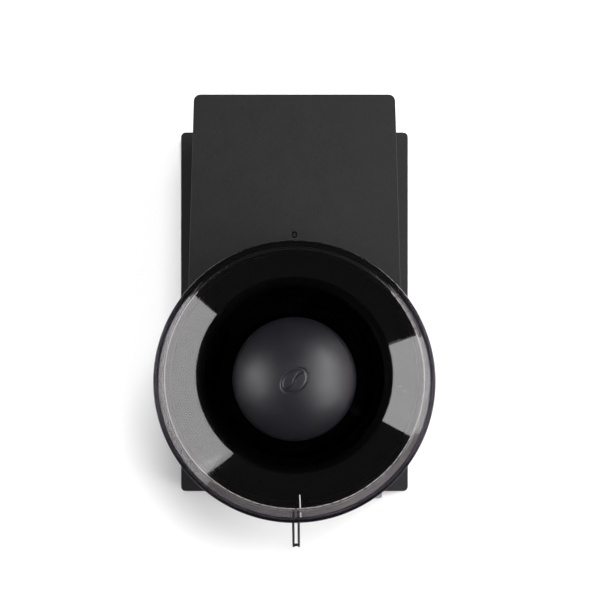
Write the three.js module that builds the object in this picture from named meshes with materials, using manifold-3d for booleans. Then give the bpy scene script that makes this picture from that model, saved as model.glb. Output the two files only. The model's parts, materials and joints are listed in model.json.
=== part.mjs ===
// A burr coffee grinder: a flat base, a C-shaped body with a motor column and an overhanging head, a round
// see-through hopper over a conical burr set, and a catch cup with a twin-blade handle.
// Millimetres, +Z up, the front faces -Y. The origin is the middle of the object's footprint, at the floor.
import * as THREE from "three";
import { mergeVertices } from "three/addons/utils/BufferGeometryUtils.js";
import Module from "manifold-3d";

const wasm = await Module();
wasm.setup();

// ---- driving dimensions ----
const GAP = 0.3; // clearance between neighbouring pieces
const WALL = 2.4; // moulded wall thickness

const base = { width: 129, back: 112, front: -92, bottom: 3, top: 20, corner: 3 };
const head = { front: -62, bottom: 122, top: 205, panel: 2.4, frontCorner: 4, backCorner: 3.6 };
const column = { front: 14, fillet: 8 };
// Half the body's width at its back face, and how much it grows for each millimetre further forward.
const taper = { halfAtBack: 46.65, growth: 0.0281 };

const burr = { y: -19 }; // vertical axis of the burrs and hopper
const hopper = {
  rim: 252, outer: 61.8, inner: 59.3, floorRadius: 59.2, floorTop: 227, throat: 22, throatZ: 205.7,
  floorThick: 2.8, skirtBottom: 221.4, skirtInner: 60.4, neck: 24.2, neckBottom: 192,
};
const guard = { radius: 28, edge: 227, lip: 225, rise: 15, wall: 2 };
const scale = { outer: 59.5, top: 222.4, bottom: 205.4, hole: 41.5 };

const gear = {
  outputTeeth: 54, idlerSmallTeeth: 14, outputModule: 1, // slow pair, at the burrs
  idlerBigTeeth: 48, pinionTeeth: 12, inputModule: 1, // fast pair, at the motor
};
const idlerY = burr.y + (gear.outputModule * (gear.outputTeeth + gear.idlerSmallTeeth)) / 2;
const motorY = idlerY + (gear.inputModule * (gear.idlerBigTeeth + gear.pinionTeeth)) / 2;
const gearbox = {
  halfWidth: 33, front: -50.2, back: 58, corner: 20, floor: 124.8, wallTop: 148.5, coverTop: 151.8,
};
const chamber = { outer: 31, inner: 29, bottom: 152.1, floor: 156.1, top: 188 };
const motor = { radius: 27, bottom: 48, top: 120 };
const shaft = { radius: 4, bottom: 125.1, top: 189 };

const cup = { y: -47, top: 106, bottom: 20.3, topRadius: 42, bottomRadius: 38, wall: 1.8 };
// The cup stands turned by `turn` degrees, so the handle points a little to the right.
const handle = { tip: -112.7, top: 102, bottom: 36, neckHalf: 2.1, tipHalf: 1.95, blade: 1.3, turn: 0.8 };
const button = { x: 44.6, z: 11.3, radius: 5.6, face: -96.5 };
const chute = {
  half: 13, front: -59.3, back: -50.6, wall: 1.4, inletBottom: 156.5, inletTop: 168.5, top: 171,
};

// ---- materials ----
const finish = (color, roughness, metalness = 0, extra = {}) =>
  new THREE.MeshStandardMaterial({ color, roughness, metalness, ...extra });
const shellBlack = finish(0x2e2e2f, 0.62);
const satinBlack = finish(0x222226, 0.42);
const smoke = finish(0x2a2830, 0.08, 0, { transparent: true, opacity: 0.45 });
const rubber = finish(0x161616, 0.9);
const steel = finish(0xb9bbbd, 0.3, 1);
const aluminium = finish(0x9a9da0, 0.4, 1);
const acetal = finish(0xe6e2d6, 0.5);
const copper = finish(0xb06a3a, 0.35, 1);
const boardGreen = finish(0x1f5a38, 0.5);
const silicone = finish(0x8d8f92, 0.7);
const greyButton = finish(0x808286, 0.35, 0.6);

// ---- solid helpers ----
const TAU = 2 * Math.PI;

// A closed three.js geometry as a solid, turned the right way out.
function solid(geometry) {
  const bare = geometry.index ? geometry.toNonIndexed() : geometry.clone();
  const only = new THREE.BufferGeometry().setAttribute("position", bare.getAttribute("position"));
  const merged = mergeVertices(only, 1e-4);
  const index = merged.index.array;
  const kept = [];
  for (let i = 0; i < index.length; i += 3) {
    const [a, b, c] = [index[i], index[i + 1], index[i + 2]];
    if (a !== b && b !== c && a !== c) kept.push(a, b, c);
  }
  const vertProperties = merged.attributes.position.array;
  const make = (triVerts) => new wasm.Manifold(new wasm.Mesh({ numProp: 3, vertProperties, triVerts }));
  const made = make(new Uint32Array(kept));
  if (made.volume() > 0) return made;
  for (let i = 0; i < kept.length; i += 3) [kept[i + 1], kept[i + 2]] = [kept[i + 2], kept[i + 1]];
  return make(new Uint32Array(kept));
}

// A solid back to a three.js geometry.
function geometryOf(made) {
  const mesh = made.getMesh();
  const geometry = new THREE.BufferGeometry()
    .setAttribute("position", new THREE.BufferAttribute(new Float32Array(mesh.vertProperties), 3))
    .setIndex(new THREE.BufferAttribute(new Uint32Array(mesh.triVerts), 1));
  geometry.computeVertexNormals();
  return geometry;
}

const box = (x0, x1, y0, y1, z0, z1) => {
  const geometry = new THREE.BoxGeometry(x1 - x0, y1 - y0, z1 - z0);
  return solid(geometry.translate((x0 + x1) / 2, (y0 + y1) / 2, (z0 + z1) / 2));
};

// A solid of revolution about the vertical line through (x, y). The profile is a closed loop of [radius, z].
function turned(profile, segments, x = 0, y = 0) {
  const points = [...profile, profile[0]].map(([r, z]) => new THREE.Vector2(r, z));
  return solid(new THREE.LatheGeometry(points, segments).rotateX(Math.PI / 2).translate(x, y, 0));
}

const disc = (radius, z0, z1, segments, x = 0, y = 0) =>
  turned([[0, z0], [radius, z0], [radius, z1], [0, z1]], segments, x, y);

const ring = (inner, outer, z0, z1, segments, x = 0, y = 0) =>
  turned([[inner, z0], [outer, z0], [outer, z1], [inner, z1]], segments, x, y);

// A round bar along Y, from y0 to y1.
const barY = (radius, y0, y1, x, z, segments) =>
  solid(new THREE.CylinderGeometry(radius, radius, y1 - y0, segments).translate(x, (y0 + y1) / 2, z));

// A flat outline in X and Y, drawn up from z0 to z1.
const raised = (shape, z0, z1, curveSegments = 6) => {
  const geometry = new THREE.ExtrudeGeometry(shape, { depth: z1 - z0, bevelEnabled: false, curveSegments });
  return solid(geometry.translate(0, 0, z0));
};

// An outline in Y and Z, drawn across from x0 to x1.
const acrossX = (shape, x0, x1, curveSegments = 6) => {
  const geometry = new THREE.ExtrudeGeometry(shape, { depth: x1 - x0, bevelEnabled: false, curveSegments });
  geometry.applyMatrix4(new THREE.Matrix4().set(0, 0, 1, x0, 1, 0, 0, 0, 0, 1, 0, 0, 0, 0, 0, 1));
  return solid(geometry);
};

// A polygon with each corner rounded by its own radius. Corners are [a, b, radius].
function rounded(corners) {
  const shape = new THREE.Shape();
  const n = corners.length;
  corners.forEach(([a, b, radius], i) => {
    const here = new THREE.Vector2(a, b);
    const before = new THREE.Vector2(...corners[(i + n - 1) % n]).sub(here);
    const after = new THREE.Vector2(...corners[(i + 1) % n]).sub(here);
    const half = Math.acos(before.dot(after) / (before.length() * after.length())) / 2;
    const reach = (radius || 0) / Math.tan(half);
    const from = here.clone().addScaledVector(before.normalize(), reach);
    const to = here.clone().addScaledVector(after.normalize(), reach);
    if (i === 0) shape.moveTo(from.x, from.y);
    else shape.lineTo(from.x, from.y);
    if (radius) shape.quadraticCurveTo(here.x, here.y, to.x, to.y);
  });
  shape.closePath();
  return shape;
}

const rectangle = (x0, x1, y0, y1, radius) =>
  rounded([[x0, y0, radius], [x1, y0, radius], [x1, y1, radius], [x0, y1, radius]]);

const join = (...solids) => solids.reduce((a, b) => a.add(b));
const cut = (from, ...tools) => tools.reduce((a, b) => a.subtract(b), from);

const grinder = new THREE.Group();
function piece(name, made, material) {
  const mesh = new THREE.Mesh(geometryOf(made), material);
  mesh.name = name;
  grinder.add(mesh);
}

// ---- base ----
const plateZ = { bottom: 3.2, top: 5.2 };
const footSpots = {
  front_left: [-52, -80], front_right: [52, -80], rear_left: [-52, 100], rear_right: [52, 100],
};
const screwSpots = [[-52, -60], [52, -60], [-52, 80], [52, 80]];
const inlet = { half: 11, bottom: 6.6, top: 16.4, inner: 95 };

function makeBase() {
  const half = base.width / 2;
  let tray = raised(rectangle(-half, half, base.front, base.back, base.corner), base.bottom, base.top);
  const [inFront, inBack, inHalf] = [base.front + WALL, base.back - WALL, half - WALL];
  tray = cut(tray, box(-inHalf, inHalf, inFront, inBack, base.bottom - 1, base.top - WALL));
  for (const [x, y] of screwSpots) tray = join(tray, disc(4, 5.6, base.top - 1, 16, x, y));
  for (const [x, y] of screwSpots) tray = cut(tray, disc(1.7, 5, 14, 12, x, y));
  tray = cut(
    tray,
    box(-34, 34, 32, 96, base.top - 5, base.top + 1), // wiring way up into the column
    barY(7, base.front - 1, base.front + WALL + 1, button.x, button.z, 24),
    box(-inlet.half - GAP, inlet.half + GAP, inBack - 1, base.back + 1, inlet.bottom - GAP, inlet.top + GAP),
  );
  piece("base_tray", tray, shellBlack);

  const inset = WALL + GAP;
  const plateOutline = rectangle(-half + inset, half - inset, base.front + inset, base.back - inset, 1);
  let plate = raised(plateOutline, plateZ.bottom, plateZ.top);
  for (const [x, y] of screwSpots) plate = cut(plate, disc(3.4, 2, 7, 16, x, y));
  piece("base_plate", plate, shellBlack);
  piece("ballast_plate", raised(rectangle(-40, 40, -72, 20, 6), plateZ.top + GAP, plateZ.top + 5), steel);

  for (const [name, [x, y]] of Object.entries(footSpots)) {
    piece("foot_" + name, turned([[0, 0], [7.2, 0], [8, 0.8], [8, 2.9], [0, 2.9]], 24, x, y), rubber);
  }
  screwSpots.forEach(([x, y], i) => {
    const screw = turned([[0, 3.4], [3, 3.4], [3, 5.1], [1.4, 5.4], [1.4, 12], [0, 12.6]], 12, x, y);
    piece("base_screw_" + (i + 1), cut(screw, box(x - 2, x + 2, y - 0.4, y + 0.4, 3, 4)), steel);
  });
  piece("cup_locating_magnet", disc(8, 13.4, base.top - WALL - GAP, 24, 0, cup.y), steel);
}

// ---- start button ----
function makeButton() {
  const { x, z, radius, face } = button;
  const front = new THREE.CylinderGeometry(radius, radius - 0.8, 0.8, 28).translate(x, face + 0.4, z);
  const crown = join(barY(radius, face + 0.8, -87.6, x, z, 28), solid(front));
  const ears = box(x - 7.5, x + 7.5, -89, -87.6, z - 4, z + 4); // stop the cap coming out of its hole
  const cap = join(cut(join(crown, ears), barY(4.4, -94.2, -86, x, z, 20)), barY(1.6, -95, -86.5, x, z, 12));
  piece("button_cap", cap, greyButton);
  const sleeve = barY(6.7, base.front - 0.4, base.front + 2.2, x, z, 28);
  piece("button_bezel", cut(sleeve, barY(5.9, -95, -87, x, z, 28)), satinBlack);
  const plunger = barY(1.5, -84.6, -83, x, z, 12);
  piece("start_switch", join(box(x - 6, x + 6, -84, -76, 6, 16.5), plunger), satinBlack);
}

// ---- body shells ----
const halfWidth = (y, inset = 0) => taper.halfAtBack + taper.growth * (base.back - y) - inset;

// The body's outline from above, drawn in by inset.
function plan(front, back, inset, frontCorner, backCorner) {
  const [wide, narrow] = [halfWidth(front, inset), halfWidth(back, inset)];
  return rounded([[-wide, front, frontCorner], [wide, front, frontCorner], [narrow, back, backCorner],
    [-narrow, back, backCorner]]);
}

function makeBody() {
  const bottom = base.top + GAP;
  const top = head.top - head.panel - GAP;
  const full = plan(head.front, base.back, 0, head.frontCorner, head.backCorner);
  const outline = raised(full, bottom, top);
  const profile = rounded([[head.front, head.bottom, 3], [column.front, head.bottom, column.fillet],
    [column.front, bottom, 0], [base.back, bottom, 0], [base.back, top, 0], [head.front, top, 0]]);
  const hollowPlan = raised(
    plan(head.front + WALL, base.back - WALL, WALL, head.frontCorner - 2, 1), bottom - 1, top + 1);
  const hollowProfile = rounded([[head.front, head.bottom + WALL, 0],
    [column.front + WALL, head.bottom + WALL, column.fillet], [column.front + WALL, bottom - 1, 0],
    [base.back, bottom - 1, 0], [base.back, top + 1, 0], [head.front, top + 1, 0]]);
  const half = 60;
  const shell = cut(
    outline.intersect(acrossX(profile, -half, half)),
    hollowPlan.intersect(acrossX(hollowProfile, -half, half)),
    box(-40, 40, base.back - WALL - 1, base.back + 1, 26, 194), // rear opening
    box(-chute.half - 0.6, chute.half + 0.6, chute.front - 0.6, chute.back + 0.6, 120, head.bottom + 4),
  );
  piece("body_shell", shell, shellBlack);

  let cover = join(
    box(-39.7, 39.7, base.back - WALL, base.back, 26 + GAP, 194 - GAP),
    box(-36, 36, base.back - WALL - 1.6, base.back - WALL, 30, 190),
  );
  for (let i = 0; i < 9; i++) {
    cover = cut(cover, box(-24, 24, base.back - 6, base.back + 1, 44 + 7 * i, 47 + 7 * i));
  }
  const rearScrews = [[-31, 37], [31, 37], [-31, 183], [31, 183]];
  for (const [x, z] of rearScrews) cover = cut(cover, barY(3, base.back - 6, base.back + 1, x, z, 16));
  piece("rear_cover", cover, shellBlack);
  rearScrews.forEach(([x, z], i) => {
    const shank = barY(1.3, base.back - 10, base.back - 2, x, z, 8);
    const screw = join(barY(2.7, base.back - 2, base.back - 0.4, x, z, 12), shank);
    const slot = box(x - 2, x + 2, base.back - 1.2, base.back, z - 0.4, z + 0.4);
    piece("rear_screw_" + (i + 1), cut(screw, slot), steel);
  });

  const panel = cut(
    raised(full, head.top - head.panel, head.top),
    disc(38, head.top - 5, head.top + 1, 48, 0, burr.y),
    disc(1.45, head.top - 5, head.top + 1, 16, 0, 47),
  );
  piece("top_panel", panel, shellBlack);
  piece("index_dot", disc(1.15, head.top - 2.2, head.top - 0.8, 16, 0, 47), satinBlack);
}

// ---- hopper, its bean guard and the scale ring under it ----
function makeHopper() {
  const h = hopper;
  const y = burr.y;
  const bowl = turned([
    [h.outer, h.rim - 0.8], [h.outer - 0.8, h.rim], [h.inner + 0.6, h.rim], [h.inner, h.rim - 0.6],
    [h.floorRadius, h.floorTop], [h.throat, h.throatZ], [h.throat, h.neckBottom], [h.neck, h.neckBottom],
    [h.neck, h.throatZ - 1], [h.floorRadius, h.floorTop - h.floorThick],
    [h.skirtInner, h.floorTop - h.floorThick], [h.skirtInner, h.skirtBottom], [h.outer - 0.5, h.skirtBottom],
  ], 48, 0, y);
  const keys = [90, 210, 330].map((at) =>
    box(0, 27.1, -4, 4, h.neckBottom, h.neckBottom + 3).rotate([0, 0, at]).translate([0, y, 0]));
  const clearThroat = disc(h.throat, h.neckBottom - 1, h.throatZ, 48, 0, y);
  piece("hopper_bowl", cut(join(bowl, ...keys), clearThroat), smoke);

  const g = guard;
  const sphere = (g.radius ** 2 + g.rise ** 2) / (2 * g.rise);
  const arc = (radius, count) => {
    const centre = g.edge + g.rise - sphere;
    const from = Math.asin(Math.min(1, (g.radius - (sphere - radius)) / radius));
    return Array.from({ length: count + 1 }, (_, i) => {
      const angle = from * (1 - i / count);
      return [i === count ? 0 : radius * Math.sin(angle), centre + radius * Math.cos(angle)];
    });
  };
  const outside = arc(sphere, 6);
  const inside = arc(sphere - g.wall, 4).reverse();
  let dome = turned([[g.radius - g.wall, g.lip], [g.radius, g.lip], ...outside, ...inside], 36, 0, y);
  const legFoot = hopper.throatZ + 2.4;
  for (const at of [90, 210, 330]) {
    dome = join(dome, box(12, 23.6, -1.1, 1.1, legFoot, 231).rotate([0, 0, at]).translate([0, y, 0]));
  }
  dome = join(dome, ring(12, 15, legFoot, legFoot + 3, 32, 0, y));
  piece("bean_guard", dome, satinBlack);
  piece("hopper_seal", ring(20.4, h.neck, h.neckBottom - 2.4, h.neckBottom - GAP, 32, 0, y), silicone);

  const s = scale;
  const dish = turned([
    [s.hole, s.bottom], [s.outer - 1, s.bottom], [s.outer, s.bottom + 1], [s.outer, s.top],
    [s.outer - WALL, s.top], [s.outer - WALL, s.bottom + WALL], [s.hole, s.bottom + WALL],
  ], 48, 0, y);
  piece("scale_ring", dish, satinBlack);
}

// ---- grind adjustment and burrs ----
function makeBurrs() {
  const y = burr.y;
  const collar = turned([
    [27.5, 189.5], [35.5, 189.5], [35.5, 200.5], [30, 200.5], [24.8, 196.8], [24.8, 195.4], [27.5, 195.4],
  ], 36, 0, y);
  const slots = [90, 210, 330].map((at) =>
    box(20, 27.5, -4.6, 4.6, 189, 202).rotate([0, 0, at]).translate([0, y, 0]));
  piece("adjuster_collar", cut(collar, ...slots), acetal);

  piece("burr_carrier", turned([
    [24.1, 166], [28.6, 166], [28.6, 187.5], [20, 187.5], [19, 184.3], [24.1, 184.3],
  ], 36, 0, y), aluminium);
  piece("ring_burr", ringBurr().translate([0, y, 0]), steel);
  piece("cone_burr", coneBurr().translate([0, y, 0]), steel);
  piece("carrier_spring", waveRing(26.4, 1, 163.7, 0.5, 0.9).translate([0, y, 0]), steel);

  let sweeper = ring(shaft.radius + GAP, 23, 157, 159.4, 30, 0, y);
  for (let i = 0; i < 6; i++) {
    sweeper = join(sweeper, box(16, 27, -1.2, 1.2, 158, 163).rotate([0, 0, i * 60]).translate([0, y, 0]));
  }
  piece("sweeper", join(sweeper, ring(shaft.radius + GAP, 9, 157, 164.9, 24, 0, y)), acetal);

  piece("burr_shaft", cut(disc(shaft.radius, shaft.bottom, shaft.top + 6, 20, 0, y),
    box(-6, 6, y + 3, y + 6, 136, 150)), steel);
  const hexagon = new THREE.CylinderGeometry(6.4, 6.4, 4.6, 6).rotateX(Math.PI / 2).translate(0, y, 190.9);
  piece("burr_nut", cut(solid(hexagon), disc(shaft.radius + GAP, 180, 200, 20, 0, y)), steel);

  const window = box(-11, 11, y - 36, y - 22, 158, 166);
  piece("burr_chamber", cut(turned([
    [9.8, chamber.bottom], [chamber.outer, chamber.bottom], [chamber.outer, chamber.top],
    [chamber.inner, chamber.top], [chamber.inner, chamber.floor], [9.8, chamber.floor],
  ], 40, 0, y), window), aluminium);
  piece("shaft_seal", ring(shaft.radius + GAP, 9.4, 154.6, 156.6, 24, 0, y), silicone);
}

// Toothed rings stacked into one surface. Each level is [z, valley radius, crest radius, twist in turns].
function toothed(levels, teeth) {
  const count = teeth * 2;
  const positions = [];
  for (const [z, valley, crest, twist] of levels) {
    for (let i = 0; i < count; i++) {
      const lean = i % 2 ? 0.3 : 0;
      const angle = ((i - lean) / count + twist) * TAU;
      const radius = i % 2 ? crest : valley;
      positions.push(radius * Math.cos(angle), radius * Math.sin(angle), z);
    }
  }
  return { positions, count, rows: levels.length };
}

// Closes stacked loops of equal length into one geometry, with flat ends joined to a centre point.
function loft(positions, count, rows) {
  const index = [];
  for (let row = 0; row < rows - 1; row++) {
    for (let i = 0; i < count; i++) {
      const [a, b] = [row * count + i, row * count + ((i + 1) % count)];
      index.push(a, b, b + count, a, b + count, a + count);
    }
  }
  const lowest = positions[2];
  const highest = positions[positions.length - 1];
  const [low, high] = [rows * count, rows * count + 1];
  for (let i = 0; i < count; i++) {
    const next = (i + 1) % count;
    index.push(low, next, i, high, (rows - 1) * count + i, (rows - 1) * count + next);
  }
  const geometry = new THREE.BufferGeometry();
  const points = [...positions, 0, 0, lowest, 0, 0, highest];
  geometry.setAttribute("position", new THREE.Float32BufferAttribute(points, 3));
  geometry.setIndex(index);
  return solid(geometry);
}

function coneBurr() {
  const levels = [
    [165.2, 18.2, 19.4, 0], [169, 17.4, 19.1, 0.012], [174, 14.6, 17, 0.04],
    [180, 10.8, 13.4, 0.08], [186, 7.6, 9.6, 0.13], [188.3, 7.2, 8.2, 0.14],
  ];
  const { positions, count, rows } = toothed(levels, 16);
  return cut(loft(positions, count, rows), disc(shaft.radius + GAP, 160, 195, 20));
}

function ringBurr() {
  const levels = [
    [165, 21.6, 20.4, 0], [170, 21.2, 19.9, -0.01], [178, 20.4, 18, -0.03], [185, 20, 17.2, -0.05],
  ];
  const { positions, count, rows } = toothed(levels, 24);
  return cut(disc(23.8, 166, 184, 36), loft(positions, count, rows));
}

// A flat ring that waves up and down three times, from z upward.
function waveRing(radius, halfWide, z, thick, wave) {
  const count = 36;
  const positions = [];
  for (let i = 0; i < count; i++) {
    const angle = (i / count) * TAU;
    const low = z + (wave / 2) * (1 + Math.sin(3 * angle));
    for (const [side, up] of [[-1, 0], [1, 0], [1, thick], [-1, thick]]) {
      const r = radius + side * halfWide;
      positions.push(r * Math.cos(angle), r * Math.sin(angle), low + up);
    }
  }
  const index = [];
  for (let i = 0; i < count; i++) {
    for (let k = 0; k < 4; k++) {
      const [here, beside] = [i * 4 + k, i * 4 + ((k + 1) % 4)];
      const [ahead, aheadBeside] = [here, beside].map((at) => (at + 4) % (4 * count));
      index.push(here, beside, aheadBeside, here, aheadBeside, ahead);
    }
  }
  const geometry = new THREE.BufferGeometry();
  geometry.setAttribute("position", new THREE.Float32BufferAttribute(positions, 3));
  return solid(geometry.setIndex(index));
}

// ---- gear train ----
// A spur gear blank about the origin. Its first tooth points along the angle given in turns.
function spur(teeth, module, z0, z1, bore, firstTooth) {
  const pitch = (teeth * module) / 2;
  const shape = new THREE.Shape();
  const corners = [[-0.34, -1.2], [-0.13, 0.8], [0.13, 0.8], [0.34, -1.2]]; // share of a tooth pitch, modules
  for (let i = 0; i < teeth; i++) {
    corners.forEach(([along, up], k) => {
      const angle = (firstTooth + (i + along) / teeth) * TAU;
      const radius = pitch + up * module;
      const [px, py] = [radius * Math.cos(angle), radius * Math.sin(angle)];
      if (i === 0 && k === 0) shape.moveTo(px, py);
      else shape.lineTo(px, py);
    });
  }
  shape.closePath();
  return cut(raised(shape, z0, z1), disc(bore, z0 - 1, z1 + 1, 20));
}

function makeGears() {
  const up = 0.25; // a quarter turn: towards the motor
  const down = 0.75;
  const g = gear;
  let output = spur(g.outputTeeth, g.outputModule, 136.5, 145.5, shaft.radius + GAP, up);
  output = cut(output, ring(12, 22, 142.5, 147, 24), ring(12, 22, 135, 139.5, 24));
  output = join(output, ring(shaft.radius + GAP, 9, 133, 147.5, 24));
  piece("output_gear", output.translate([0, burr.y, 0]), acetal);

  const pinBore = 3 + GAP;
  const idler = join(
    spur(g.idlerBigTeeth, g.inputModule, 128, 134, pinBore, up),
    spur(g.idlerSmallTeeth, g.outputModule, 133.9, 147.5, pinBore, down + 0.5 / g.idlerSmallTeeth),
  );
  piece("idler_gear", cut(idler, disc(pinBore, 120, 150, 20)).translate([0, idlerY, 0]), acetal);
  piece("pinion", spur(g.pinionTeeth, g.inputModule, 127.8, 135, 2.5 + GAP, down + 0.5 / g.pinionTeeth)
    .translate([0, motorY, 0]), steel);
  piece("idler_pin", disc(3, 125.1, 148.2, 20, 0, idlerY), steel);

  const b = gearbox;
  const outline = (inset) => rectangle(
    -b.halfWidth + inset, b.halfWidth - inset, b.front + inset, b.back - inset, b.corner - inset);
  const tray = cut(
    raised(outline(0), b.floor, b.wallTop, 8),
    raised(outline(WALL), b.floor + 2.2, b.wallTop + 1, 8),
    disc(8.3, 120, 132, 24, 0, burr.y),
    disc(pinBore, 120, 132, 20, 0, idlerY),
    disc(9, 120, 132, 24, 0, motorY),
  );
  piece("gearbox_tray", tray, aluminium);
  const lid = raised(outline(0), b.wallTop + GAP, b.coverTop, 8);
  piece("gearbox_cover", cut(lid, disc(9.8, 140, 160, 24, 0, burr.y)), aluminium);
  piece("lower_bearing", ring(shaft.radius + GAP, 8, 125.1, 130.5, 24, 0, burr.y), steel);
  piece("upper_bearing", ring(shaft.radius + GAP, 9.4, 149.2, 154.2, 24, 0, burr.y), steel);
}

// ---- motor ----
function makeMotor() {
  const m = motor;
  const y = motorY;
  piece("motor_can", turned([
    [5.5, m.bottom], [m.radius - 2, m.bottom], [m.radius, m.bottom + 2], [m.radius, m.top],
    [m.radius - 2, m.top], [m.radius - 2, m.bottom + 2], [5.5, m.bottom + 2],
  ], 32, 0, y), steel);
  piece("motor_end_cap", turned([
    [6, m.top + GAP], [m.radius, m.top + GAP], [m.radius, m.top + 3], [12, m.top + 4.5], [6, m.top + 4.5],
  ], 32, 0, y), satinBlack);
  const arc = (from, to) => {
    const shape = new THREE.Shape();
    shape.absarc(0, 0, 24.6, from, to, false);
    shape.absarc(0, 0, 21.2, to, from, true);
    shape.closePath();
    return raised(shape, 62, 108, 10).translate([0, y, 0]);
  };
  piece("magnet_left", arc(Math.PI * 0.68, Math.PI * 1.32), rubber);
  piece("magnet_right", arc(-Math.PI * 0.32, Math.PI * 0.32), rubber);

  let stack = ring(2.5 + GAP, 20.2, 66, 104, 40, 0, y);
  for (let i = 0; i < 8; i++) {
    stack = cut(stack, box(9, 17, -2.6, 2.6, 60, 110).rotate([0, 0, i * 45]).translate([0, y, 0]),
      box(16, 22, -0.9, 0.9, 60, 110).rotate([0, 0, i * 45]).translate([0, y, 0]));
  }
  piece("armature", stack, steel);
  const bundle = [[8, 104.3], [17, 104.3], [19, 107], [16, 111.5], [9, 112], [6, 108]];
  piece("windings", turned(bundle, 32, 0, y), copper);
  piece("commutator", ring(2.5 + GAP, 7, 52, 62, 24, 0, y), copper);
  piece("motor_shaft", disc(2.5, 49, 137, 16, 0, y), steel);
}

// ---- chute and spout ----
function makeChute() {
  const c = chute;
  const inner = c.half - c.wall;
  const duct = cut(
    join(box(-c.half, c.half, c.front, c.back, head.bottom + 0.4, c.top),
      box(-c.half, c.half, c.back - 1, burr.y - 27, c.inletBottom, c.inletTop)),
    box(-inner, inner, c.front + c.wall, c.back - c.wall, head.bottom - 1, c.top - c.wall),
    box(-inner, inner, c.back - 4, burr.y, c.inletBottom + 1.5, c.inletTop - 2),
  );
  const roundChamber = disc(chamber.outer + GAP, 150, 190, 48, 0, burr.y);
  piece("chute_duct", cut(duct, roundChamber), satinBlack);

  const middle = (c.front + c.back) / 2;
  const collar = raised(rectangle(-17, 17, middle - 6.6, middle + 6.6, 3), 119.2, head.bottom - GAP);
  const nose = box(-15, 15, middle - 5.6, middle + 5.6, 108.4, 120.4);
  const way = box(-inner, inner, c.front + c.wall, c.back - c.wall, 100, 130);
  piece("spout", cut(join(collar, nose), way), rubber);
}

// ---- electrics ----
function makeElectrics() {
  const board = join(
    box(-36, 36, 32, 96, 25, 26.6),
    box(-30, -12, 40, 62, 26, 42), // transformer
    box(10, 18, 70, 90, 26, 38), // heat sink
    disc(6, 26, 44, 16, 24, 44), // smoothing capacitor
    disc(4, 26, 37, 12, 10, 46),
    box(-30, -10, 74, 90, 26, 36), // motor terminals
  );
  piece("control_board", board, boardGreen);

  const socket = cut(
    box(-inlet.half, inlet.half, inlet.inner, base.back - 0.5, inlet.bottom, inlet.top),
    box(-8.2, 8.2, base.back - 13, base.back + 1, inlet.bottom + 1.2, inlet.top - 1.2),
  );
  const pins = [-4.3, 4.3].map((x) => barY(1.2, base.back - 14, base.back - 3, x, button.z, 10));
  piece("power_inlet", join(socket, ...pins), satinBlack);
}

// ---- catch cup ----
function makeCup() {
  const c = cup;
  const h = handle;
  const shell = turned([
    [0, c.bottom], [c.bottomRadius - 1.5, c.bottom], [c.bottomRadius, c.bottom + 1.5],
    [c.topRadius, c.top - 0.6], [c.topRadius - 0.6, c.top], [c.topRadius - c.wall, c.top],
    [c.bottomRadius - c.wall, c.bottom + 3.4], [c.bottomRadius - 4, c.bottom + 2.2], [0, c.bottom + 2.2],
  ], 48, 0, c.y);

  // From above, the handle leaves the wall in a flare and runs on as two close blades with a bar at the tip.
  const blades = new THREE.Shape();
  const root = c.y - c.bottomRadius + 3;
  const neck = -97.8;
  blades.moveTo(-12, root);
  blades.lineTo(-9, -88.6);
  blades.quadraticCurveTo(-h.neckHalf, -90.5, -h.neckHalf, neck);
  blades.lineTo(-h.tipHalf, h.tip);
  blades.lineTo(h.tipHalf, h.tip);
  blades.lineTo(h.neckHalf, neck);
  blades.quadraticCurveTo(h.neckHalf, -90.5, 9, -88.6);
  blades.lineTo(12, root);
  blades.closePath();
  const side = rounded([
    [root, h.top, 0], [h.tip, h.top, 3], [h.tip, 74, 12], [-84, h.bottom - 4, 0], [root, h.bottom, 0],
  ]);
  const slot = box(-h.neckHalf + h.blade, h.neckHalf - h.blade, h.tip - 1, -88, h.bottom - 10, h.top + 1);
  const bar = box(-h.tipHalf + 0.2, h.tipHalf - 0.2, h.tip + 0.4, h.tip + 1.2, h.top - 8, h.top - 3);
  const inside = turned([[0, c.bottom + 3], [c.bottomRadius - c.wall + 0.05, c.bottom + 3],
    [c.topRadius - c.wall + 0.05, c.top + 1], [0, c.top + 1]], 48, 0, c.y);
  const fin = cut(raised(blades, h.bottom - 8, h.top, 8).intersect(acrossX(side, -15, 15)), slot, inside);
  const whole = join(shell, fin, bar);
  piece("cup_body", whole.translate([0, -c.y, 0]).rotate([0, 0, h.turn]).translate([0, c.y, 0]), satinBlack);
  piece("cup_magnet", disc(7, c.bottom + 2.5, c.bottom + 4.3, 24, 0, c.y), steel);
}

makeBase();
makeButton();
makeBody();
makeHopper();
makeBurrs();
makeGears();
makeMotor();
makeChute();
makeElectrics();
makeCup();

export default grinder;
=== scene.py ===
# The burr coffee grinder's looks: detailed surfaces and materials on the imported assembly, in metres.
import json
import math

import bmesh
import bpy
from mathutils import Matrix, Vector


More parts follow.
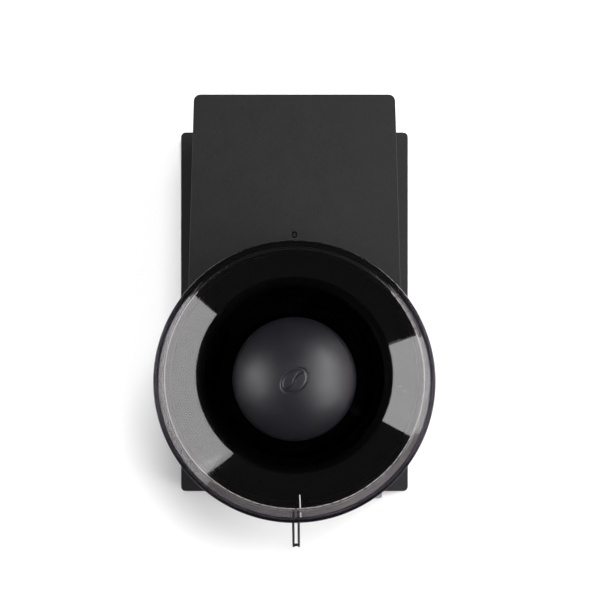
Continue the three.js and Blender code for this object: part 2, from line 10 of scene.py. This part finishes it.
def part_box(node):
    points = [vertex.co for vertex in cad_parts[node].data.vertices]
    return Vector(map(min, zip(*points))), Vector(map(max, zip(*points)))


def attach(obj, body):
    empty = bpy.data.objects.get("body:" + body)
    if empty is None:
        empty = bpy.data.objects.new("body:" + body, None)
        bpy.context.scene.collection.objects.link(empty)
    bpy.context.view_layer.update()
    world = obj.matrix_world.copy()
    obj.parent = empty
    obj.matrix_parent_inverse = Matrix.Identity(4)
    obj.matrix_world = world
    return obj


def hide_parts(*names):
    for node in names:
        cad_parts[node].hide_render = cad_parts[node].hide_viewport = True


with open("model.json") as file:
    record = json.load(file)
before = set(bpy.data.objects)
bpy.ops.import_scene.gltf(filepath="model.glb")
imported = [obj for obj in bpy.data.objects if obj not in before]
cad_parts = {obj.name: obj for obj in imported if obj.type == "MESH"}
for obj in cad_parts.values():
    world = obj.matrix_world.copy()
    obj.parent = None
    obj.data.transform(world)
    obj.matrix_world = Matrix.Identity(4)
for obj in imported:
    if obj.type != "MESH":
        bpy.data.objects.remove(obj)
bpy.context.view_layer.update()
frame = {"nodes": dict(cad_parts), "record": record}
nodes = frame["nodes"]
scene = bpy.context.scene
MM = 0.001
TAU = 2 * math.pi

# The vertical axis of the hopper and burrs.
bowl_low, bowl_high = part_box("hopper_bowl")
AXIS = Vector(((bowl_low.x + bowl_high.x) / 2, (bowl_low.y + bowl_high.y) / 2, 0))


# ---------------------------------------------------------------- camera, light and floor
CAMERA_AT = (0, 0.0167, 1.020)  # straight above the middle of the object, looking down
FLOOR_HALF = 6.0
FLOOR_GAP = 0.0002  # the floor lies this far under the feet
AIM = Vector((0, 0, 0.20))  # the lamps face the top of the object
HAZE = 0.09  # the even light from all around


def make_stage():
    camera = bpy.data.cameras.new("camera")
    camera.sensor_width = 36
    camera.lens = 105.5
    camera.shift_x = 0.0092
    camera.clip_start, camera.clip_end = 0.05, 20
    holder = bpy.data.objects.new("camera", camera)
    holder.location = CAMERA_AT
    scene.collection.objects.link(holder)
    scene.camera = holder

    bm = bmesh.new()
    bmesh.ops.create_grid(bm, x_segments=8, y_segments=8, size=FLOOR_HALF)
    floor = mesh_object("floor", bm)
    floor.location = (0, 0, -FLOOR_GAP)
    floor.data.materials.append(paper_white())

    softbox("softbox_right", (0.60, 0.036, 0.452), (1.05, 0.63), 5.5)
    softbox("softbox_right_high", (0.37, 0.036, 0.76), (0.72, 0.25), 1.5)
    softbox("softbox_left", (-1.15, -0.02, 0.66), (0.85, 0.95), 5.9)
    # A small strong lamp behind and above, which draws the shadows and isn't mirrored in the plastic.
    overhead = softbox("softbox_top", (0.06, 0.24, 1.60), (0.2, 0.2), 200)
    overhead.visible_glossy = overhead.visible_transmission = False

    world = bpy.data.worlds.new("studio")
    world.use_nodes = True
    background = world.node_tree.nodes["Background"]
    background.inputs["Color"].default_value = (1, 1, 1, 1)
    background.inputs["Strength"].default_value = HAZE
    scene.world = world
    scene.view_settings.view_transform = "Standard"
    scene.view_settings.look = "None"


# A flat lamp that faces the object. Its radiance is given, so its size doesn't change how bright it looks.
def softbox(name, place, size, radiance):
    lamp = bpy.data.lights.new(name, "AREA")
    lamp.shape = "RECTANGLE"
    lamp.size, lamp.size_y = size
    lamp.energy = radiance * math.pi * size[0] * size[1]
    holder = bpy.data.objects.new(name, lamp)
    holder.location = place
    holder.rotation_mode = "QUATERNION"
    holder.rotation_quaternion = (AIM - Vector(place)).to_track_quat("-Z", "Y")
    holder.visible_camera = False
    scene.collection.objects.link(holder)
    return holder


# ---------------------------------------------------------------- materials
def start_material(name):
    made = bpy.data.materials.new(name)
    made.use_nodes = True
    tree = made.node_tree
    shader = tree.nodes["Principled BSDF"]
    coords = tree.nodes.new("ShaderNodeTexCoord").outputs["Object"]
    return made, tree, shader, coords


def noise(tree, coords, grain_mm, detail=3.0, roughness=0.55, stretch=(1, 1, 1)):
    mapping = tree.nodes.new("ShaderNodeMapping")
    mapping.inputs["Scale"].default_value = [s / (grain_mm * MM) for s in stretch]
    tree.links.new(coords, mapping.inputs["Vector"])
    texture = tree.nodes.new("ShaderNodeTexNoise")
    texture.inputs["Scale"].default_value = 1.0
    texture.inputs["Detail"].default_value = detail
    texture.inputs["Roughness"].default_value = roughness
    tree.links.new(mapping.outputs["Vector"], texture.inputs["Vector"])
    return texture.outputs["Fac"]


def remap(tree, value, low, high, from_low=0.3, from_high=0.7):
    node = tree.nodes.new("ShaderNodeMapRange")
    node.inputs["From Min"].default_value = from_low
    node.inputs["From Max"].default_value = from_high
    node.inputs["To Min"].default_value = low
    node.inputs["To Max"].default_value = high
    tree.links.new(value, node.inputs["Value"])
    return node.outputs["Result"]


def colour_sockets(sockets):
    return [s for s in sockets if s.type == "RGBA"]


def blend_colours(tree, fac, first, second):
    node = tree.nodes.new("ShaderNodeMix")
    node.data_type = "RGBA"
    for socket, colour in zip(colour_sockets(node.inputs), (first, second)):
        socket.default_value = (*colour, 1)
    tree.links.new(fac, node.inputs["Factor"])
    return colour_sockets(node.outputs)[0]


def multiply_colours(tree, first, second):
    node = tree.nodes.new("ShaderNodeMix")
    node.data_type = "RGBA"
    node.blend_type = "MULTIPLY"
    node.inputs["Factor"].default_value = 1.0
    for socket, colour in zip(colour_sockets(node.inputs), (first, second)):
        tree.links.new(colour, socket)
    return colour_sockets(node.outputs)[0]


def bump(tree, height, strength, depth_mm):
    node = tree.nodes.new("ShaderNodeBump")
    node.inputs["Strength"].default_value = strength
    node.inputs["Distance"].default_value = depth_mm * MM
    tree.links.new(height, node.inputs["Height"])
    return node.outputs["Normal"]


def shade(colour, factor):
    return tuple(min(1.0, c * factor) for c in colour)


# Moulded plastic: a fine spark-eroded grain, a slow drift in tone, and a polish that varies from place to
# place. `contrast` is how much lighter and darker the grain is than `colour`.
def moulded(name, colour, roughness, grain_mm, depth_mm, contrast=0.16, specular=0.5):
    made, tree, shader, coords = start_material(name)
    grain = noise(tree, coords, grain_mm, 2.5, 0.6)
    cloud = noise(tree, coords, 38, 2.0)
    fine = blend_colours(
        tree, remap(tree, grain, 0, 1), shade(colour, 1 - contrast), shade(colour, 1 + contrast))
    drift = blend_colours(tree, remap(tree, cloud, 0, 1), (0.94, 0.94, 0.94), (1.0, 1.0, 1.0))
    tree.links.new(multiply_colours(tree, fine, drift), shader.inputs["Base Color"])
    polish = noise(tree, coords, 9, 4.0)
    tree.links.new(remap(tree, polish, roughness - 0.035, roughness + 0.045), shader.inputs["Roughness"])
    shader.inputs["Specular IOR Level"].default_value = specular
    tree.links.new(bump(tree, grain, 0.6, depth_mm), shader.inputs["Normal"])
    return made


# See-through smoke-grey plastic, with a faint unevenness from moulding and fine rubbing marks. Most of the
# tint is in the surfaces; `depth_colour` and `depth_density` darken the long way down through the rim.
def smoked(name, colour, depth_colour, depth_density):
    made, tree, shader, coords = start_material(name)
    flow = noise(tree, coords, 22, 2.0)
    tree.links.new(
        blend_colours(tree, remap(tree, flow, 0, 1), shade(colour, 0.94), shade(colour, 1.05)),
        shader.inputs["Base Color"])
    scuff = noise(tree, coords, 6, 3.0, 0.6, (1, 1, 3))
    tree.links.new(remap(tree, scuff, 0.03, 0.055, 0.35, 0.8), shader.inputs["Roughness"])
    shader.inputs["Transmission Weight"].default_value = 1.0
    shader.inputs["IOR"].default_value = 1.49
    wave = noise(tree, coords, 14, 1.0)
    tree.links.new(bump(tree, wave, 0.15, 0.02), shader.inputs["Normal"])
    depth = tree.nodes.new("ShaderNodeVolumeAbsorption")
    depth.inputs["Color"].default_value = (*depth_colour, 1)
    depth.inputs["Density"].default_value = depth_density
    tree.links.new(depth.outputs["Volume"], tree.nodes["Material Output"].inputs["Volume"])
    return made


# Turned, stamped or ground metal: fine lines along one direction, and light and dark patches.
def metal(name, colour, roughness, stretch=(1, 1, 18), lines_mm=3.0, metallic=1.0):
    made, tree, shader, coords = start_material(name)
    lines = noise(tree, coords, lines_mm, 4.0, 0.65, stretch)
    patch = noise(tree, coords, 12, 3.0)
    tree.links.new(
        blend_colours(tree, remap(tree, patch, 0, 1), shade(colour, 0.88), shade(colour, 1.06)),
        shader.inputs["Base Color"])
    tree.links.new(remap(tree, lines, roughness - 0.06, roughness + 0.1), shader.inputs["Roughness"])
    shader.inputs["Metallic"].default_value = metallic
    tree.links.new(bump(tree, lines, 0.35, 0.03), shader.inputs["Normal"])
    return made


# Rubber: dull and slightly dusty.
def rubbery(name, colour, roughness=0.85):
    made, tree, shader, coords = start_material(name)
    dust = noise(tree, coords, 3.5, 6.0, 0.7)
    tree.links.new(
        blend_colours(tree, remap(tree, dust, 0, 1), shade(colour, 0.85), shade(colour, 1.35)),
        shader.inputs["Base Color"])
    tree.links.new(remap(tree, dust, roughness - 0.08, roughness + 0.08), shader.inputs["Roughness"])
    pores = noise(tree, coords, 0.7, 2.0)
    tree.links.new(bump(tree, pores, 0.5, 0.05), shader.inputs["Normal"])
    return made


def paper_white():
    made, tree, shader, coords = start_material("paper_white")
    fibre = noise(tree, coords, 400, 2.0)
    tree.links.new(
        blend_colours(tree, remap(tree, fibre, 0, 1), (0.655, 0.655, 0.655), (0.67, 0.67, 0.67)),
        shader.inputs["Base Color"])
    shader.inputs["Roughness"].default_value = 0.9
    shader.inputs["Specular IOR Level"].default_value = 0.1
    shader.inputs["Emission Color"].default_value = (1, 1, 1, 1)
    shader.inputs["Emission Strength"].default_value = 0.04
    return made


SHELL = moulded("shell_black", (0.0065, 0.0065, 0.0067), 0.56, 0.6, 0.06, 0.34, 0.4)
SATIN = moulded("satin_black", (0.0046, 0.0043, 0.0066), 0.47, 0.4, 0.02, 0.14, 0.68)
SCALE = moulded("scale_black", (0.012, 0.0115, 0.013), 0.3, 0.4, 0.012, 0.1, 0.5)
SMOKE = smoked("smoke_grey", (0.36, 0.34, 0.34), (0.45, 0.40, 0.51), 90)
BUTTON = metal("button_grey", (0.12, 0.12, 0.125), 0.4, (1, 1, 1), 0.6, 0.3)
RUBBER = rubbery("foot_rubber", (0.02, 0.02, 0.02))
SILICONE = rubbery("silicone", (0.27, 0.275, 0.28), 0.6)
STEEL = metal("steel", (0.56, 0.57, 0.58), 0.27)
ALUMINIUM = metal("cast_aluminium", (0.5, 0.51, 0.52), 0.42, (1, 1, 1), 1.2)
COPPER = metal("copper", (0.62, 0.27, 0.12), 0.3, (1, 1, 9), 1.4)
FERRITE = rubbery("ferrite", (0.03, 0.03, 0.032), 0.6)
ACETAL = moulded("acetal", (0.74, 0.71, 0.64), 0.42, 1.2, 0.02, 0.03, 0.5)
DARK_ACETAL = moulded("dark_acetal", (0.012, 0.012, 0.013), 0.45, 1.2, 0.02, 0.1, 0.4)
BOARD = moulded("board_green", (0.015, 0.10, 0.045), 0.35, 2.2, 0.02, 0.2, 0.5)
PRINT = moulded("print_grey", (0.42, 0.41, 0.42), 0.5, 0.5, 0.01, 0.06, 0.4)

FINISHES = {
    "shell_black": SHELL, "satin_black": SATIN, "smoke": SMOKE, "rubber": RUBBER, "steel": STEEL,
    "ferrite": FERRITE, "aluminium": ALUMINIUM, "acetal": ACETAL, "copper": COPPER, "board_green": BOARD,
    "silicone": SILICONE, "button_grey": BUTTON,
}
SLOT_OF = {part["node"]: part["material_slot"] for part in frame["record"]["subparts"]}
BODIES = frame["record"]["behaviour"]["bodies"]
BODY_OF = {node: body for body, members in BODIES.items() for node in members}


# ---------------------------------------------------------------- mesh helpers
def mesh_object(name, bm):
    bmesh.ops.recalc_face_normals(bm, faces=bm.faces)
    mesh = bpy.data.meshes.new(name)
    bm.to_mesh(mesh)
    bm.free()
    made = bpy.data.objects.new(name, mesh)
    scene.collection.objects.link(made)
    return made


def smooth(piece, angle=35):
    piece.data.polygons.foreach_set("use_smooth", [True] * len(piece.data.polygons))
    piece.data.set_sharp_from_angle(angle=math.radians(angle))
    return piece


# Gives a piece its finish, the body it moves with and the CAD solids it stands for.
def finish_piece(piece, finish, slot, body, *replaced):
    piece.data.materials.clear()
    piece.data.materials.append(finish)
    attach(piece, body)
    if replaced:
        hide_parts(*replaced)
    return piece


# Rounds off every sharp edge, the way a mould's edges are.
def rounded_edges(piece, width_mm, steps):
    piece.data.polygons.foreach_set("use_smooth", [True] * len(piece.data.polygons))
    bevel = piece.modifiers.new("edges", "BEVEL")
    bevel.width = width_mm * MM
    bevel.segments = steps
    bevel.limit_method = "ANGLE"
    bevel.angle_limit = math.radians(30)
    bevel.harden_normals = True
    bevel.use_clamp_overlap = True
    bpy.context.view_layer.update()
    evaluated = piece.evaluated_get(bpy.context.evaluated_depsgraph_get())
    baked = bpy.data.meshes.new_from_object(evaluated)
    piece.modifiers.clear()
    piece.data = baked
    return piece


# The solid of a CAD node as clean faces with rounded edges.
def refined(name, node, width_mm, steps=3):
    source = nodes[node].data
    bm = bmesh.new()
    points = [bm.verts.new(v.co) for v in source.vertices]
    for polygon in source.polygons:
        try:
            bm.faces.new([points[i] for i in polygon.vertices])
        except ValueError:
            continue  # the same face twice
    bmesh.ops.remove_doubles(bm, verts=bm.verts, dist=2e-6)
    bmesh.ops.dissolve_limit(bm, angle_limit=math.radians(0.6), verts=bm.verts, edges=bm.edges)
    piece = rounded_edges(mesh_object(name, bm), width_mm, steps)
    return finish_piece(piece, FINISHES[SLOT_OF[node]], SLOT_OF[node], BODY_OF[node], node)


# A profile with its corners rounded. Points are (radius, height, corner radius), all in millimetres.
def soft_profile(points, steps=4):
    made = []
    count = len(points)
    for i, (r, z, radius) in enumerate(points):
        here = Vector((r, z))
        if not radius:
            made.append(here)
            continue
        before = Vector(points[i - 1][:2]) - here
        after = Vector(points[(i + 1) % count][:2]) - here
        half = before.angle(after) / 2
        reach = min(radius / math.tan(half), before.length * 0.49, after.length * 0.49)
        start, end = here + before.normalized() * reach, here + after.normalized() * reach
        for k in range(steps + 1):
            t = k / steps
            made.append(start * (1 - t) ** 2 + here * (2 * t * (1 - t)) + end * t ** 2)
    return held(made)


# Adds a point just inside both ends of every long straight run, so that flat faces are shaded flat.
def held(points):
    inset, shortest, off_axis = 0.08, 0.8, 0.5
    made = []
    for here, after in zip(points, points[1:] + points[:1]):
        made.append(here)
        run = after - here
        if run.length > shortest and min(here.x, after.x) > off_axis:
            made.append(here + run.normalized() * inset)
            made.append(after - run.normalized() * inset)
    return made


# A place at radius r and height z, in millimetres, `angle` radians around a vertical axis from +X.
def around(angle, r, z, centre=AXIS):
    return Vector((centre.x + r * MM * math.cos(angle), centre.y + r * MM * math.sin(angle), z * MM))


# An angle in degrees from the object's front towards +X, as radians from +X.
def from_front(degrees):
    return math.radians(degrees - 90)


# Turns a closed profile about a vertical axis. Points on the axis become one vertex.
def turned(name, profile, segments, centre=AXIS):
    bm = bmesh.new()
    rings = []
    for r, z in profile:
        count = segments if r else 1
        rings.append([bm.verts.new(around(TAU * i / segments, r, z, centre)) for i in range(count)])
    for a, b in zip(rings, rings[1:] + rings[:1]):
        if len(a) == len(b) == 1:
            continue
        for i in range(segments):
            j = (i + 1) % segments
            corners = [a[i % len(a)], a[j % len(a)], b[j % len(b)], b[i % len(b)]]
            bm.faces.new(list(dict.fromkeys(corners)))
    return mesh_object(name, bm)


# A box with rounded edges, turned about the hopper's vertical axis. Corners in millimetres from that axis.
def block(name, lower, upper, turn, width_mm=0.3):
    bm = bmesh.new()
    bmesh.ops.create_cube(bm, size=1)
    size = [(b - a) * MM for a, b in zip(lower, upper)]
    middle = [(a + b) / 2 * MM for a, b in zip(lower, upper)]
    spun = Matrix.Translation(AXIS) @ Matrix.Rotation(math.radians(turn), 4, "Z")
    place = spun @ Matrix.Translation(middle) @ Matrix.Diagonal((*size, 1))
    bmesh.ops.transform(bm, matrix=place, verts=bm.verts)
    return rounded_edges(mesh_object(name, bm), width_mm, 2)


def joined(name, parts):
    for part in parts:
        part.select_set(True)
    bpy.context.view_layer.objects.active = parts[0]
    with bpy.context.temp_override(active_object=parts[0], selected_editable_objects=parts):
        bpy.ops.object.join()
    parts[0].name = name
    parts[0].data.name = name
    parts[0].select_set(False)
    return parts[0]


# ---------------------------------------------------------------- body, base and cup
def make_shells():
    refined("base_shell", "base_tray", 0.7, 4)
    refined("underside", "base_plate", 0.3)
    refined("grinder_body", "body_shell", 0.7, 4)
    refined("head_top", "top_panel", 0.8, 5)
    refined("back_cover", "rear_cover", 0.35)
    refined("pip", "index_dot", 0.3)
    refined("mains_inlet", "power_inlet", 0.3)
    refined("grounds_spout", "spout", 0.6)
    refined("cup", "cup_body", 0.3)
    for corner in ("front_left", "front_right", "rear_left", "rear_right"):
        make_foot(corner)


# A round rubber pad, dished in the middle and with a groove around it.
def make_foot(corner):
    lo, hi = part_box("foot_" + corner)
    centre = Vector(((lo.x + hi.x) / 2, (lo.y + hi.y) / 2, 0))
    r, top = (hi.x - lo.x) / 2 / MM, 2.9
    dish, groove = 0.7, 0.5
    profile = soft_profile([
        (0, dish, 0), (3, dish, 0.2), (3.4, 0, 0.25), (5.2, 0, 0.25), (5.5, groove, 0.1),
        (6.0, groove, 0.1), (6.3, 0, 0.25), (r - 0.9, 0, 0.6), (r, 1.0, 0.5), (r, top, 0.2), (0, top, 0)])
    foot = smooth(turned("pad_" + corner, profile, 64, centre))
    finish_piece(foot, RUBBER, "rubber", "grinder_frame", "foot_" + corner)


# ---------------------------------------------------------------- hopper, in millimetres
RIM = 252.0
WALL = {"outer": 61.8, "inner": 59.3}
# The floor slopes down to the throat.
FLOOR = {"outer": 59.2, "top": 227.0, "throat": 22.0, "bottom": 205.7, "thick": 2.8}
NECK = {"outer": 24.2, "end": 192.0}
SKIRT = {"outer": 61.3, "inner": 60.4, "end": 221.4}
THIRDS = (90, 210, 330)  # where the hopper's three keys and the guard's three legs stand, in degrees
ROUND_STEPS = 192  # facets around the hopper and the scale ring


def floor_height(r):
    slope = (FLOOR["top"] - FLOOR["bottom"]) / (FLOOR["outer"] - FLOOR["throat"])
    return FLOOR["bottom"] + (r - FLOOR["throat"]) * slope


def make_hopper():
    top, bottom, throat = FLOOR["top"], FLOOR["bottom"], FLOOR["throat"]
    under = top - FLOOR["thick"]
    profile = soft_profile([
        (WALL["outer"], RIM, 0.6), (WALL["inner"], RIM, 0.4), (FLOOR["outer"], top, 0.3),
        (throat, bottom, 0.8), (throat, NECK["end"], 0.3), (NECK["outer"], NECK["end"], 0.4),
        (NECK["outer"], bottom - 1, 1.0), (58.9, under, 0.6), (SKIRT["inner"], under, 0.2),
        (SKIRT["inner"], SKIRT["end"], 0.3), (SKIRT["outer"], SKIRT["end"], 0.3)], 5)
    bowl = smooth(turned("smoked_bowl", profile, ROUND_STEPS))
    finish_piece(bowl, SMOKE, "smoke", "hopper", "hopper_bowl")
    keys = [block("key", (23.9, -4, NECK["end"]), (27.1, 4, NECK["end"] + 3), turn) for turn in THIRDS]
    finish_piece(joined("bowl_keys", keys), SMOKE, "smoke", "hopper")
    finish_piece(pointer_line(2.6, 52.6, 58.2, 0.28), PRINT, "satin_black", "hopper")
    make_guard()


# A printed line on the sloping floor, at an angle in degrees from the front towards +X.
def pointer_line(angle, inner, outer, half):
    turn = Matrix.Translation(AXIS) @ Matrix.Rotation(from_front(angle), 4, "Z")
    bm = bmesh.new()
    corners = []
    for lift in (0.04, 0.16):
        for r, side in ((inner, -half), (outer, -half), (outer, half), (inner, half)):
            corners.append(bm.verts.new(turn @ Vector((r * MM, side * MM, (floor_height(r) + lift) * MM))))
    for face in ((0, 1, 2, 3), (4, 5, 6, 7), (0, 1, 5, 4), (1, 2, 6, 5), (2, 3, 7, 6), (3, 0, 4, 7)):
        bm.faces.new([corners[i] for i in face])
    return rounded_edges(mesh_object("pointer", bm), 0.04, 2)


# The bean pictogram pressed into the guard, in millimetres.
MARK = {"long": 6.4, "wide": 4.5, "turn": math.radians(38), "line": 0.5, "edge": 0.16, "deep": 0.5}


# How far into a pressed line a point is, from 0 to 1, by its distance from the line's middle.
def pressed(distance):
    return max(0.0, min(1.0, (MARK["line"] + MARK["edge"] - distance) / (2 * MARK["edge"])))


# How deep the pictogram is pressed at (x, y) from its middle: an oval with a wavy crease along it.
def mark_depth(x, y):
    cos, sin = math.cos(MARK["turn"]), math.sin(MARK["turn"])
    u, v = x * cos + y * sin, y * cos - x * sin
    oval = math.hypot(u / MARK["long"], v / MARK["wide"])
    depth = pressed(abs(oval - 1) * 5.0)
    if oval < 0.86:
        depth = max(depth, pressed(abs(v - 1.3 * math.sin(u * math.pi / MARK["long"]))))
    return depth * MARK["deep"]


GUARD = {"radius": 28.0, "rise": 15.0, "edge": 227.0, "lip": 225.0, "wall": 2.0}
GUARD_BALL = (GUARD["radius"] ** 2 + GUARD["rise"] ** 2) / (2 * GUARD["rise"])  # the dome's ball radius
GUARD_STEPS = 256
MARK_AREA = 7.2  # the dome is meshed finely out to this radius, so that the pictogram is crisp


# The height of the dome's outside, or of its inside `inward` millimetres below it.
def dome_height(r, inward=0.0):
    centre = GUARD["edge"] + GUARD["rise"] - GUARD_BALL
    return centre + math.sqrt((GUARD_BALL - inward) ** 2 - r ** 2)


def make_guard():
    edge, lip, wall, outer = GUARD["edge"], GUARD["lip"], GUARD["wall"], GUARD["radius"]
    angles = [TAU * i / GUARD_STEPS for i in range(GUARD_STEPS)]
    fine = [MARK_AREA * i / 30 for i in range(1, 31)]
    coarse = [MARK_AREA + (27.3 - MARK_AREA) * i / 20 for i in range(1, 21)]
    bm = bmesh.new()
    top = bm.verts.new(around(0, 0, dome_height(0) - mark_depth(0, 0)))
    rings = []
    for r in fine + coarse:
        rings.append([
            bm.verts.new(around(a, r, dome_height(r) - mark_depth(r * math.cos(a), r * math.sin(a))))
            for a in angles])
    rim = [(27.75, edge - 0.1), (outer, edge - 0.7), (outer, lip + 0.3), (27.7, lip), (26.3, lip),
           (outer - wall, lip + 0.3)]
    inside = [(r, dome_height(r, wall)) for r in (25.6, 24, 21, 17, 12, 6)]
    for r, z in rim + inside:
        rings.append([bm.verts.new(around(a, r, z)) for a in angles])
    under = bm.verts.new(around(0, 0, dome_height(0, wall)))
    steps = [(i, (i + 1) % GUARD_STEPS) for i in range(GUARD_STEPS)]
    for a, b in zip(rings, rings[1:]):
        for i, j in steps:
            bm.faces.new([a[i], a[j], b[j], b[i]])
    for i, j in steps:
        bm.faces.new([top, rings[0][i], rings[0][j]])
        bm.faces.new([under, rings[-1][j], rings[-1][i]])
    dome = smooth(mesh_object("domed_guard", bm), 50)
    finish_piece(dome, SATIN, "satin_black", "hopper", "bean_guard")
    foot = FLOOR["bottom"] + 2.4
    legs = [block("leg", (12, -1.1, foot), (23.6, 1.1, 231), turn) for turn in THIRDS]
    collar = soft_profile([(12, foot, 0.3), (15, foot, 0.3), (15, foot + 3, 0.3), (12, foot + 3, 0.3)], 3)
    legs.append(smooth(turned("collar", collar, 96)))
    finish_piece(joined("guard_legs", legs), SATIN, "satin_black", "hopper")


# ---------------------------------------------------------------- grind scale, in millimetres and degrees
DRUM = {"outer": 59.5, "inner": 57.1, "bore": 41.5, "top": 222.4, "bottom": 205.4}
SCALE_START = -31.3  # the first mark, from the front towards +X
SCALE_STEP = 4.0
SCALE_NUMBERS = 11
PER_NUMBER = 4  # steps from one number to the next
FIGURES_Z = 210.9  # the middle of the figures


def make_scale():
    floor = DRUM["bottom"] + 2.4
    profile = soft_profile([
        (DRUM["bore"], DRUM["bottom"], 0.2), (DRUM["outer"] - 1, DRUM["bottom"], 0.3),
        (DRUM["outer"], DRUM["bottom"] + 1, 0.4), (DRUM["outer"], DRUM["top"], 0.5),
        (DRUM["inner"], DRUM["top"], 0.5), (DRUM["inner"], floor, 0.8), (DRUM["bore"], floor, 0.2)], 4)
    drum = smooth(turned("scale_drum", profile, ROUND_STEPS))
    finish_piece(drum, SCALE, "satin_black", "grinder_frame", "scale_ring")
    ribs, marks = [], []
    for i in range(PER_NUMBER * (SCALE_NUMBERS - 1) + 1):
        turn = SCALE_START + SCALE_STEP * i - 90
        major = i % PER_NUMBER == 0
        half = 0.42 if major else 0.26
        rib_foot, mark_foot = (219.4, 214.8) if major else (220.6, 216.6)
        ribs.append(block("rib", (59.3, -half, rib_foot), (60.15, half, 222.5), turn, 0.1))
        narrow = half * 0.8
        marks.append(block("mark", (59.3, -narrow, mark_foot), (59.62, narrow, 219.2), turn, 0.05))
    figures = [number(i) for i in range(SCALE_NUMBERS)]
    finish_piece(joined("scale_ribs", ribs), SCALE, "satin_black", "grinder_frame")
    finish_piece(joined("scale_marks", marks), PRINT, "satin_black", "grinder_frame")
    finish_piece(joined("scale_numbers", figures), PRINT, "satin_black", "grinder_frame")


# A figure of the scale, standing upright and bent around the drum.
def number(i):
    text = bpy.data.curves.new("number", "FONT")
    text.body = str(i + 1)
    text.size = 5.2 * MM
    text.align_x, text.align_y = "CENTER", "CENTER"
    text.extrude = 0.12 * MM
    text.resolution_u = 3
    holder = bpy.data.objects.new("number", text)
    scene.collection.objects.link(holder)
    bpy.context.view_layer.update()
    evaluated = holder.evaluated_get(bpy.context.evaluated_depsgraph_get())
    mesh = bpy.data.meshes.new_from_object(evaluated)
    bpy.data.objects.remove(holder)
    mesh.transform(Matrix.Rotation(math.radians(90), 4, "X"))
    middle = from_front(SCALE_START + PER_NUMBER * SCALE_STEP * i)
    radius = DRUM["outer"] + 0.02
    for v in mesh.vertices:
        x, y, z = v.co / MM
        v.co = around(middle + x / radius, radius - y, FIGURES_Z + z)
    made = bpy.data.objects.new("number", mesh)
    scene.collection.objects.link(made)
    return made


# ---------------------------------------------------------------- button, in millimetres
CAP = {"radius": 5.6, "dish": 3.8, "shoulder": 4.7}
BEZEL = {"inner": 5.9, "outer": 6.7}


# Turns a profile about the button's axis. Heights run along -Y: the cap's face is the highest point.
def turned_button(name, profile):
    lo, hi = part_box("button_bezel")
    to_button = Matrix.Translation(((lo.x + hi.x) / 2, 0, (lo.z + hi.z) / 2))
    piece = turned(name, profile, 96, Vector((0, 0, 0)))
    piece.data.transform(to_button @ Matrix.Rotation(math.radians(90), 4, "X"))
    return smooth(piece)


def make_button():
    lo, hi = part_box("button_cap")
    face, back = -lo.y / MM, -hi.y / MM + 1.2
    cap = turned_button("push_cap", soft_profile([
        (0, face - 0.35, 0), (CAP["dish"], face - 0.25, 1.5), (CAP["shoulder"], face, 0.5),
        (CAP["radius"], face, 0.9), (CAP["radius"], back, 0.3), (0, back, 0)], 5))
    finish_piece(cap, BUTTON, "button_grey", "start_button", "button_cap")
    lo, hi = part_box("button_bezel")
    front, rear = -lo.y / MM, -hi.y / MM
    ring = turned_button("push_surround", soft_profile([
        (BEZEL["inner"], front, 0.25), (BEZEL["outer"], front, 0.3), (BEZEL["outer"], rear, 0.1),
        (BEZEL["inner"], rear, 0.1)], 3))
    finish_piece(ring, SATIN, "satin_black", "grinder_frame", "button_bezel")


# ---------------------------------------------------------------- everything inside
def dress_inside():
    for name, holder in nodes.items():
        if holder.hide_render:
            continue
        finish = DARK_ACETAL if name == "adjuster_collar" else FINISHES[SLOT_OF[name]]
        holder.data.materials.clear()
        holder.data.materials.append(finish)


make_stage()
make_shells()
make_hopper()
make_scale()
make_button()
dress_inside()
